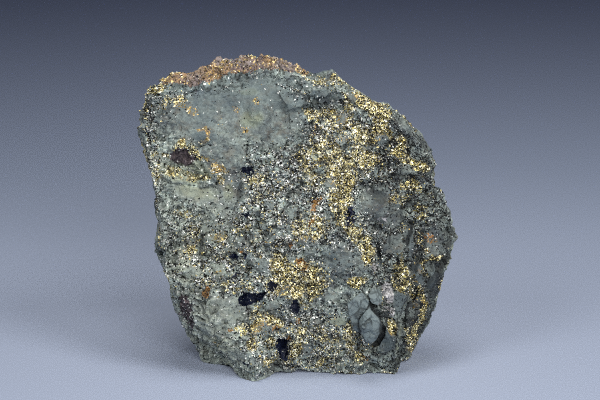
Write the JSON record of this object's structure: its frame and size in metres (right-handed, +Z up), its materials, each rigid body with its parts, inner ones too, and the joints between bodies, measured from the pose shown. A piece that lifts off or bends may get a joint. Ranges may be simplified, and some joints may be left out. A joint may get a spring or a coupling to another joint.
{
  "type": "chalcopyrite ore specimen",
  "caption": "Rough hand-sized block of grey-green rock with brassy metallic grains scattered through it, standing on a flat worn foot.",
  "frame": {"origin": "on the standing plane, under the middle of the block's bounding box", "axes": "+Z up as it stands, -Y the way the broad broken face looks, +X to that face's right as seen from in front"},
  "size_m": [0.1168, 0.0594, 0.1156],
  "materials": {
    "ore": "rough broken rock, grey-green, with brassy metallic grains"
  },
  "bodies": {
    "root": {"ore_block": "ore"}
  },
  "joints": []
}
